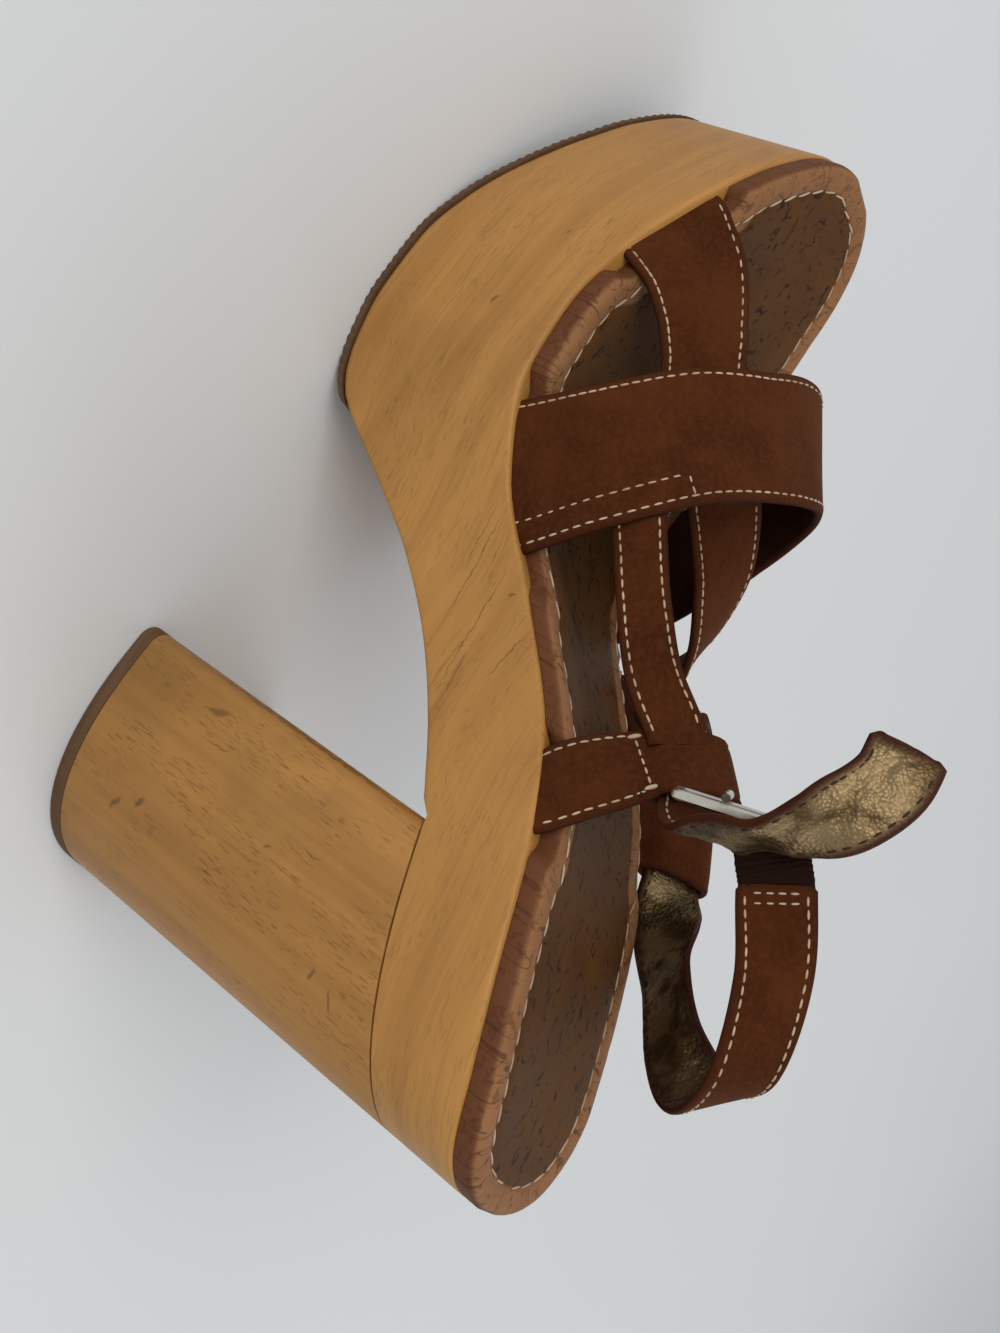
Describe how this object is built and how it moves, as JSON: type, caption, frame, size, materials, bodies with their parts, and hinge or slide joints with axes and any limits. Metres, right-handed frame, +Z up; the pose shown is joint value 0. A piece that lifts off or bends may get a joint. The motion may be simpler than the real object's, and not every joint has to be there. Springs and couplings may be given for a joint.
{
  "type": "platform sandal",
  "caption": "High platform sandal with a carved wood sole and block heel, cork insole, crossed suede straps, and a slack ankle strap with elastic and buckle.",
  "frame": {"origin": "on the floor, under the middle of the bounding box of the standing shoe", "axes": "+X towards the toe, +Y towards the lateral (little-toe) side, +Z up"},
  "size_m": [0.2326, 0.0898, 0.1647],
  "materials": {
    "wood": "satin varnished light golden wood, grain along the shoe",
    "heel_wood": "satin varnished light golden wood, grain upright",
    "sole_rubber": "matt dark brown rubber",
    "cork": "sealed cork sheet wrapped over a soft board",
    "suede": "cognac suede outside, gold metallic lining inside",
    "elastic": "ribbed dark brown elastic webbing",
    "buckle_metal": "plain nickel-coloured wire"
  },
  "bodies": {
    "root": {"wood_sole": "wood", "heel_block": "heel_wood", "heel_top_lift": "sole_rubber", "outsole": "sole_rubber", "insole": "cork", "upper_straps": "suede", "medial_side_strap": "suede", "ankle_strap": "suede", "ankle_elastic": "elastic", "buckle_frame": "buckle_metal", "buckle_prong": "buckle_metal"}
  },
  "joints": []
}
